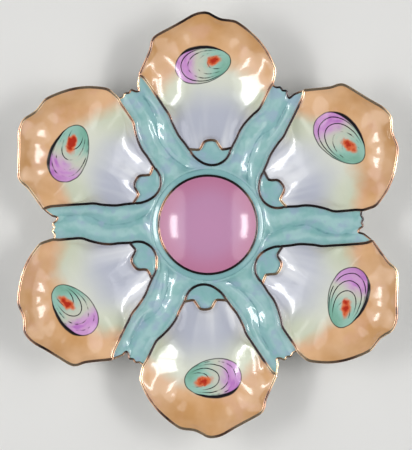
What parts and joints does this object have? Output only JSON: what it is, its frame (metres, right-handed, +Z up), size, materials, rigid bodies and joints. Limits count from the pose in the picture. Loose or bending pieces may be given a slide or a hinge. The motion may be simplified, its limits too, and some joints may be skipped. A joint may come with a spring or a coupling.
{
  "type": "oyster plate",
  "caption": "Glazed porcelain oyster plate with shell-shaped wells round a central sauce dish, a frond-moulded ground, gilt lines and a ring foot.",
  "frame": {"origin": "middle of the foot, on the table", "axes": "+Z up along the plate's axis; +Y towards the head of well_1; the wells are numbered clockwise as seen from above"},
  "size_m": [0.211, 0.2356, 0.0218],
  "materials": {
    "shell_glaze": "peach glaze fading through pale yellow-green to lavender white",
    "ground_glaze": "turquoise glaze, paler on the moulded ridges",
    "sauce_glaze": "mauve pink glaze",
    "gilding": "fired gold, worn to brown in places",
    "foot_glaze": "clear glaze over white porcelain",
    "foot_bisque": "bare ground porcelain"
  },
  "bodies": {
    "root": {"sauce_well": "sauce_glaze", "sauce_gilt_rim": "gilding", "foot_wall": "foot_glaze", "foot_ring": "foot_bisque", "well_1": "shell_glaze", "heel_1": "ground_glaze", "ground_1": "ground_glaze", "gilt_rim_1": "gilding", "gilt_notch_1": "gilding", "gilt_teeth_1": "gilding", "well_2": "shell_glaze", "heel_2": "ground_glaze", "ground_2": "ground_glaze", "gilt_rim_2": "gilding", "gilt_notch_2": "gilding", "gilt_teeth_2": "gilding", "well_3": "shell_glaze", "heel_3": "ground_glaze", "ground_3": "ground_glaze", "gilt_rim_3": "gilding", "gilt_notch_3": "gilding", "gilt_teeth_3": "gilding", "well_4": "shell_glaze", "heel_4": "ground_glaze", "ground_4": "ground_glaze", "gilt_rim_4": "gilding", "gilt_notch_4": "gilding", "gilt_teeth_4": "gilding", "well_5": "shell_glaze", "heel_5": "ground_glaze", "ground_5": "ground_glaze", "gilt_rim_5": "gilding", "gilt_notch_5": "gilding", "gilt_teeth_5": "gilding", "well_6": "shell_glaze", "heel_6": "ground_glaze", "ground_6": "ground_glaze", "gilt_rim_6": "gilding", "gilt_notch_6": "gilding", "gilt_teeth_6": "gilding"}
  },
  "joints": []
}
